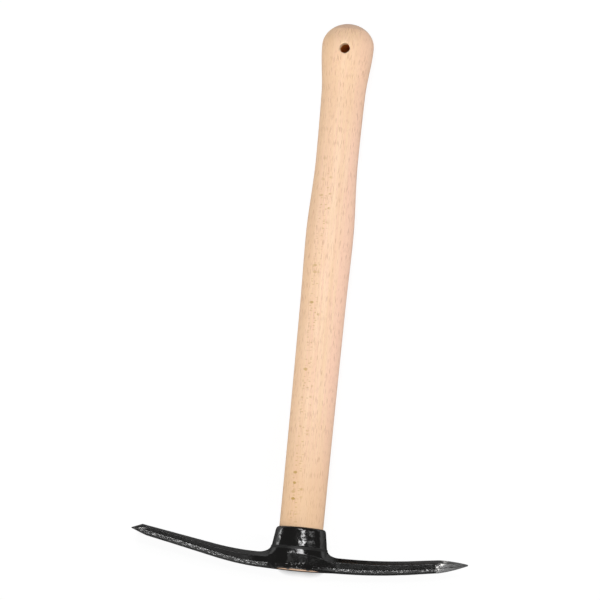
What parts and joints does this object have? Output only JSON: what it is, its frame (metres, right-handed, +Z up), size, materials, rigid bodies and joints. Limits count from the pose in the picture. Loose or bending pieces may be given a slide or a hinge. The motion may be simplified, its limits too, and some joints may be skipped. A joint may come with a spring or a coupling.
{
  "type": "pick axe",
  "caption": "Hand pick with a forged black head, a chisel arm and a pointed arm, wedged on an oval beech handle with a knob and a hanging hole.",
  "frame": {"origin": "middle of the tool's footprint, on the surface that it lies on", "axes": "+X along the arms towards the point, +Y along the handle towards the knob, +Z up"},
  "size_m": [0.3046, 0.4996, 0.04],
  "materials": {
    "black_lacquer": "gloss black lacquer over rough forged steel, ground bare at the point",
    "beech": "smooth sanded beech with fine ray flecks",
    "wedge_wood": "sawn hardwood end grain",
    "wedge_steel": "plain rolled steel, hammer marked at the head"
  },
  "bodies": {
    "root": {"pick_head": "black_lacquer", "handle": "beech", "wooden_wedge": "wedge_wood", "steel_wedge_chisel_side": "wedge_steel", "steel_wedge_point_side": "wedge_steel"}
  },
  "joints": []
}
